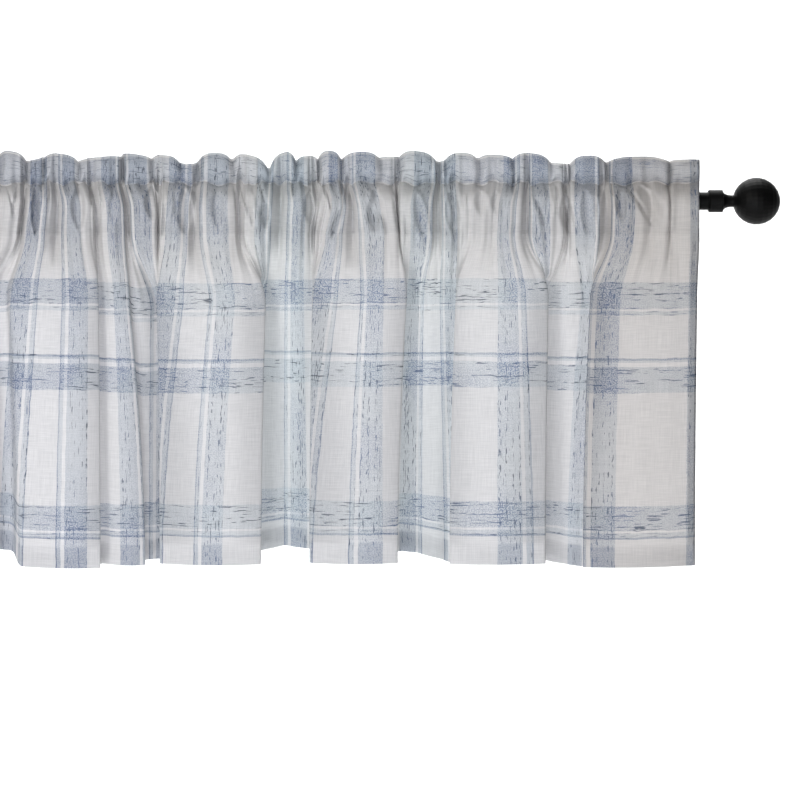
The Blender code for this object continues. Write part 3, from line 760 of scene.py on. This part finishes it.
def set_ramp(ramp, stripes, start, span, steps="CONSTANT"):
    """Fills a colour ramp with stripes: the colour is a tint, and alpha the share of slubs."""
    ramp.interpolation = steps
    for number, stripe in enumerate(stripes):
        place = (stripe.start - start) / span
        stop = ramp.elements[0] if number == 0 else ramp.elements.new(place)
        stop.position = place
        stop.color = (*linear(stripe.tint)[:3], stripe.slubs)
    while len(ramp.elements) > len(stripes):
        ramp.elements.remove(ramp.elements[-1])


place = add(tree, "ShaderNodeUVMap", uv_map="flat_cloth").outputs[0]
in_mm = add(tree, "ShaderNodeVectorMath", {0: place, "Scale": 1 / MM}, operation="SCALE").outputs[0]
stray = add(tree, "ShaderNodeTexNoise", {"Vector": in_mm, "Scale": 0.07, "Detail": 1.0}).outputs["Color"]
centred = add(tree, "ShaderNodeVectorMath", {0: stray, 1: (0.5, 0.5, 0.5)}, operation="SUBTRACT").outputs[0]
strayed = add(tree, "ShaderNodeVectorMath", {0: centred, 1: (2 * THREAD_WANDER,) * 3, 2: in_mm},
              operation="MULTIPLY_ADD").outputs[0]
axes = add(tree, "ShaderNodeSeparateXYZ", {0: strayed})

repeats = add(tree, "ShaderNodeMath", {0: axes.outputs["X"], 1: -WARP_START}, operation="ADD").outputs[0]
repeats = add(tree, "ShaderNodeMath", {0: repeats, 1: WARP_REPEAT}, operation="DIVIDE").outputs[0]
repeats = add(tree, "ShaderNodeMath", {0: repeats}, operation="FRACT").outputs[0]
warp = add(tree, "ShaderNodeValToRGB", {"Fac": repeats})
set_ramp(warp.color_ramp, WARP, 0.0, WARP_REPEAT)

climb = add(tree, "ShaderNodeMath", {0: axes.outputs["Y"], 1: -WEFT_START}, operation="ADD").outputs[0]
climb = add(tree, "ShaderNodeMath", {0: climb, 1: WEFT_SPAN}, operation="DIVIDE").outputs[0]
weft = add(tree, "ShaderNodeValToRGB", {"Fac": climb})
set_ramp(weft.color_ramp, WEFT, WEFT_START, WEFT_SPAN)
layers_and_painted_shade = add(tree, "ShaderNodeValToRGB", {"Fac": climb})
set_ramp(layers_and_painted_shade.color_ramp, LAYERS_AND_PAINTED_SHADE, WEFT_START, WEFT_SPAN, "LINEAR")

span = add(tree, "ShaderNodeMath", {0: axes.outputs["X"], 1: SIDE_TURN}, operation="ADD").outputs[0]
span = add(tree, "ShaderNodeMath", {0: span, 1: CLOTH_WIDTH + 2 * SIDE_TURN}, operation="DIVIDE").outputs[0]
painted_light_and_dye = add(tree, "ShaderNodeValToRGB", {"Fac": span})
set_ramp(painted_light_and_dye.color_ramp, PAINTED_LIGHT_AND_DYE_ACROSS, -SIDE_TURN, CLOTH_WIDTH + 2 * SIDE_TURN, "LINEAR")
print("plaid:", len(WARP), "warp stripes in a repeat,", len(WEFT), "weft stripes")

# %% Slubs and weave
# One row for each direction of thread. Each noise is stretched along the thread. The first picks the threads
# that carry slubs, the second cuts them into dashes and the third draws the weave's faint lines. Real slubs
# are about 0.5 mm wide and real threads 0.35 mm apart; both are drawn coarser so that they show.
Thread = namedtuple("Thread", "name run slub weave stripes")
THREADS = (
    Thread("warp", (1 / 1.9, 1 / 220, 1.0), (1 / 1.2, 1 / 7, 1.0), (1 / 0.8, 1 / 22, 1.0), warp),
    Thread("weft", (1 / 110, 1 / 2.2, 1.0), (1 / 19, 1 / 0.9, 1.0), (1 / 22, 1 / 0.8, 1.0), weft),
)
SPECKLE_MM = 1.2             # dyed and white threads crossing, drawn coarser as well
BASE = "#E3E2E3"
SECOND_LAYER = 0.6           # how much of the stripes on a second layer shows through the first
SLUB_NAVY, SLUB_DENIM = "#303947", "#4C5D7C"
DYE_MM = 70.0                # how far apart the stronger and the weaker dyed places are
RUN_FROM, RUN_TO = 0.53, 0.58        # where the first noise turns from plain thread to slub thread
SLUB_FROM, SLUB_TO = 0.54, 0.59      # where the second turns from gap to dash
SLUB_STRENGTH = 0.80
WEAVE_SHADE = "#D9DADC"
WEAVE_STRENGTH = 0.30
SPECKLE_GREY, SPECKLE_BLUE = "#A6B9C4", "#8F9DBE"
SPECKLE_STRENGTH = (0.18, 0.50)     # in the weaker and in the stronger dyed places
SPECKLE_RANGE = {"From Min": 0.42, "From Max": 0.62}     # the part of each noise that is used
DYE_RANGE = {"From Min": 0.38, "From Max": 0.62}
WEAVE_RANGE = {"From Min": 0.35, "From Max": 0.65}
HEATHER = "#B9BCCB"          # the even grey-blue of many fine dyed threads, where they lie close
HEATHER_STRENGTH = 0.55

dyed = add(tree, "ShaderNodeMath", {0: warp.outputs["Alpha"], 1: weft.outputs["Alpha"]},
           operation="ADD").outputs[0]
colour = add(tree, "ShaderNodeMix", {0: 1.0, 6: warp.outputs["Color"], 7: weft.outputs["Color"]},
             data_type="RGBA", blend_type="MULTIPLY").outputs[2]
second = add(tree, "ShaderNodeMath", {0: layers_and_painted_shade.outputs["Alpha"], 1: SECOND_LAYER},
             operation="MULTIPLY").outputs[0]
colour = add(tree, "ShaderNodeMix", {0: second, 6: colour, 7: warp.outputs["Color"]},
             data_type="RGBA", blend_type="MULTIPLY").outputs[2]
# Painted shade and light: the two tables multiply the colour, darkening it along the seams, at the top of the
# skirt and on the right-hand panel, and cooling it in two valleys.
for tone in (layers_and_painted_shade, painted_light_and_dye):
    colour = add(tree, "ShaderNodeMix", {0: 1.0, 6: colour, 7: tone.outputs["Color"]}, data_type="RGBA",
                 blend_type="MULTIPLY").outputs[2]
strong = add(tree, "ShaderNodeMath", {0: second, 1: painted_light_and_dye.outputs["Alpha"]}, operation="ADD").outputs[0]
strong = add(tree, "ShaderNodeMath", {0: strong, 1: HEATHER_STRENGTH}, operation="MULTIPLY").outputs[0]
heather = add(tree, "ShaderNodeMath", {0: dyed, 1: strong}, operation="MULTIPLY").outputs[0]
colour = add(tree, "ShaderNodeMix", {0: heather, 6: colour, 7: linear(HEATHER)}, data_type="RGBA",
             blend_type="MULTIPLY").outputs[2]
colour = add(tree, "ShaderNodeMix", {0: 1.0, 6: colour, 7: linear(BASE)}, data_type="RGBA",
             blend_type="MULTIPLY").outputs[2]
speckle = add(tree, "ShaderNodeTexNoise",
              {"Vector": in_mm, "Scale": 1 / SPECKLE_MM, "Detail": 1.0}).outputs["Fac"]
speckle = add(tree, "ShaderNodeMapRange", {"Value": speckle, **SPECKLE_RANGE}).outputs[0]
dye = add(tree, "ShaderNodeTexNoise", {"Vector": in_mm, "Scale": 1 / DYE_MM, "Detail": 1.0}).outputs["Fac"]
dye = add(tree, "ShaderNodeMapRange", {"Value": dye, **DYE_RANGE}).outputs[0]
strength = add(tree, "ShaderNodeMapRange", {"Value": dye, "To Min": SPECKLE_STRENGTH[0],
                                            "To Max": SPECKLE_STRENGTH[1]}).outputs[0]
speckle = add(tree, "ShaderNodeMath", {0: speckle, 1: strength}, operation="MULTIPLY").outputs[0]
slub_colour = add(tree, "ShaderNodeMix", {0: dye, 6: linear(SLUB_NAVY), 7: linear(SLUB_DENIM)},
                  data_type="RGBA").outputs[2]
speckle = add(tree, "ShaderNodeMath", {0: speckle, 1: dyed}, operation="MULTIPLY").outputs[0]
speckle_colour = add(tree, "ShaderNodeMix", {0: dye, 6: linear(SPECKLE_GREY), 7: linear(SPECKLE_BLUE)},
                     data_type="RGBA").outputs[2]
colour = add(tree, "ShaderNodeMix", {0: speckle, 6: colour, 7: speckle_colour}, data_type="RGBA",
             blend_type="MULTIPLY").outputs[2]
heights = []
for thread in THREADS:
    stretched = add(tree, "ShaderNodeVectorMath", {0: in_mm, 1: thread.weave}, operation="MULTIPLY").outputs[0]
    fine = add(tree, "ShaderNodeTexNoise", {"Vector": stretched, "Scale": 1.0, "Detail": 1.0}).outputs["Fac"]
    heights.append(fine)
    shade = add(tree, "ShaderNodeMapRange", {"Value": fine, **WEAVE_RANGE,
                                             "To Min": WEAVE_STRENGTH, "To Max": 0.0}).outputs[0]
    colour = add(tree, "ShaderNodeMix", {0: shade, 6: colour, 7: linear(WEAVE_SHADE)}, data_type="RGBA",
                 blend_type="MULTIPLY").outputs[2]
for thread in THREADS:
    marks = thread.stripes.outputs["Alpha"]
    for stretch, low, high in ((thread.run, RUN_FROM, RUN_TO), (thread.slub, SLUB_FROM, SLUB_TO)):
        stretched = add(tree, "ShaderNodeVectorMath", {0: strayed, 1: stretch},
                        operation="MULTIPLY").outputs[0]
        noise = add(tree, "ShaderNodeTexNoise",
                    {"Vector": stretched, "Scale": 1.0, "Detail": 1.0}).outputs["Fac"]
        chosen = add(tree, "ShaderNodeMapRange",
                     {"Value": noise, "From Min": low, "From Max": high}).outputs[0]
        marks = add(tree, "ShaderNodeMath", {0: marks, 1: chosen}, operation="MULTIPLY").outputs[0]
    marks = add(tree, "ShaderNodeMath", {0: marks, 1: SLUB_STRENGTH}, operation="MULTIPLY").outputs[0]
    colour = add(tree, "ShaderNodeMix", {0: marks, 6: colour, 7: slub_colour}, data_type="RGBA").outputs[2]
print("threads:", [thread.name for thread in THREADS])

# %% [markdown]
# The voile is thin, so it glows a little where light falls on its far side. A translucent shader does that,
# mixed with the ordinary cloth surface. The same thread noise that shades the colour lifts the surface by a
# tenth of a millimetre, which breaks up the light as the real weave does.

# %% Cloth shader
WEAVE_RELIEF = 0.1 * MM
SHOW_THROUGH = 0.30          # of one layer
SHOW_THROUGH_TWO = 0.06      # where the cloth is doubled

relief = add(tree, "ShaderNodeMath", {0: heights[0], 1: heights[1]}, operation="ADD").outputs[0]
bump = add(tree, "ShaderNodeBump", {"Height": relief, "Strength": 0.35, "Distance": WEAVE_RELIEF}).outputs[0]
surface = add(tree, "ShaderNodeBsdfPrincipled", {"Base Color": colour, "Roughness": 0.9, "IOR": 1.5,
                                                 "Specular IOR Level": 0.25, "Normal": bump}).outputs[0]
through = add(tree, "ShaderNodeBsdfTranslucent", {"Color": colour, "Normal": bump}).outputs[0]
thin = add(tree, "ShaderNodeMapRange", {"Value": layers_and_painted_shade.outputs["Alpha"], "To Min": SHOW_THROUGH,
                                        "To Max": SHOW_THROUGH_TWO}).outputs[0]
mixed = add(tree, "ShaderNodeMixShader", {0: thin, 1: surface, 2: through}).outputs[0]
tree.links.new(mixed, cloth_output.inputs["Surface"])
valance.data.materials.append(cloth_material)

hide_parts("valance_cloth")
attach(valance, "root")

# %% [markdown]
# The rod and the finials are steel and moulded resin under the same black powder coat. The powder is
# sprayed on dry and melted in an oven, which leaves a fine orange peel and a soft broad highlight instead
# of a mirror.

# %% Powder coat
PEEL_MM = 0.7                # real orange peel is about this wide
SHARP_ANGLE = math.radians(35)       # an edge is drawn sharp where its two faces turn by more
coat_material, coat_output = new_material("black_powder_coat")
tree = coat_material.node_tree
spot = add(tree, "ShaderNodeTexCoord").outputs["Object"]
peel = add(tree, "ShaderNodeTexNoise",
           {"Vector": spot, "Scale": 1 / (PEEL_MM * MM), "Detail": 2.0}).outputs["Fac"]
wear = add(tree, "ShaderNodeTexNoise", {"Vector": spot, "Scale": 60.0, "Detail": 3.0}).outputs["Fac"]
rough = add(tree, "ShaderNodeMapRange", {"Value": wear, "To Min": 0.42, "To Max": 0.58}).outputs[0]
bump = add(tree, "ShaderNodeBump", {"Height": peel, "Strength": 0.25, "Distance": 0.05 * MM}).outputs[0]
shade = add(tree, "ShaderNodeMix", {0: wear, 6: linear("#030303"), 7: linear("#060606")},
            data_type="RGBA").outputs[2]
coat = add(tree, "ShaderNodeBsdfPrincipled", {"Base Color": shade, "Roughness": rough, "IOR": 1.5,
                                              "Specular IOR Level": 0.1, "Normal": bump}).outputs[0]
tree.links.new(coat, coat_output.inputs["Surface"])
for name in ("rod", "finial_left", "finial_right"):
    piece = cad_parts[name]
    piece.data.shade_smooth()
    piece.data.set_sharp_from_angle(angle=SHARP_ANGLE)
    for material_slot in piece.material_slots:
        material_slot.material = coat_material
print("coated: rod and two finials")

# %% [markdown]
# The stage is a plain pale floor that curves up into a backdrop. The light is soft and even, as in a
# catalogue studio: a key lamp in front on the left, a wide one straight ahead, a cool one from below, a
# weak one behind the cloth and one for the backdrop. The backdrop is far enough away to leave room for a
# look from behind.

# %% Floor and backdrop
FLOOR_HEIGHT = -700.0
BACKDROP_AWAY = 3200.0
SWEEP_RADIUS = 900.0
STAGE_FRONT = -3200.0
STAGE_HALF_WIDTH = 4500.0
STAGE_TOP = 3000.0

profile = [(STAGE_FRONT, FLOOR_HEIGHT)]
for step in range(13):
    angle = math.pi / 2 * step / 12
    profile.append((BACKDROP_AWAY - SWEEP_RADIUS + SWEEP_RADIUS * math.sin(angle),
                    FLOOR_HEIGHT + SWEEP_RADIUS * (1.0 - math.cos(angle))))
profile.append((BACKDROP_AWAY, STAGE_TOP))
points = [(x * MM, y * MM, z * MM) for y, z in profile for x in (-STAGE_HALF_WIDTH, STAGE_HALF_WIDTH)]
faces = [(2 * i, 2 * i + 1, 2 * i + 3, 2 * i + 2) for i in range(len(profile) - 1)]
stage_mesh = bpy.data.meshes.new("floor")
stage_mesh.from_pydata(points, [], faces)
stage_mesh.shade_smooth()
floor = bpy.data.objects.new("floor", stage_mesh)
bpy.context.collection.objects.link(floor)
stage_material, stage_output = new_material("white_paper_sweep")
paper = add(stage_material.node_tree, "ShaderNodeBsdfPrincipled",
            {"Base Color": linear("#FAFAFA"), "Roughness": 0.95, "Specular IOR Level": 0.1}).outputs[0]
stage_material.node_tree.links.new(paper, stage_output.inputs["Surface"])
stage_mesh.materials.append(stage_material)
print("floor at", FLOOR_HEIGHT, "mm, backdrop at", BACKDROP_AWAY, "mm")

# %% Lights
Lamp = namedtuple("Lamp", "name place aim size power colour")
LAMPS = (
    Lamp("key", (-1300, -2100, 900), (20, 0, -150), 700, 31.0, "#FFFDF9"),
    Lamp("front", (0, -2600, 100), (80, 0, -180), 1400, 15.0, "#FFFEFC"),
    Lamp("bounce", (-100, -1100, -680), (0, 0, -330), 1200, 9.0, "#E9F1FF"),
    Lamp("back", (0, 2200, 500), (0, 0, -160), 1600, 2.0, "#FAFCFF"),
    Lamp("backdrop_light", (0, 1500, 2600), (0, 3200, -300), 2400, 150.0, "#FFFFFF"),
)
ROOM_LIGHT = 0.14

for lamp in LAMPS:
    data = bpy.data.lights.new(lamp.name, "AREA")
    data.shape = "SQUARE"
    data.size = lamp.size * MM
    data.energy = lamp.power
    data.color = linear(lamp.colour)[:3]
    light = bpy.data.objects.new(lamp.name, data)
    light.location = Vector(lamp.place) * MM
    aim = (Vector(lamp.aim) - Vector(lamp.place)) * MM
    light.rotation_euler = aim.to_track_quat("-Z", "Y").to_euler()
    bpy.context.collection.objects.link(light)

world = bpy.data.worlds.new("studio")
world.use_nodes = True
world.node_tree.nodes["Background"].inputs["Color"].default_value = linear("#FCFDFF")
world.node_tree.nodes["Background"].inputs["Strength"].default_value = ROOM_LIGHT
bpy.context.scene.world = world
bpy.context.scene.view_settings.view_transform = "Standard"
print("lamps:", [lamp.name for lamp in LAMPS])
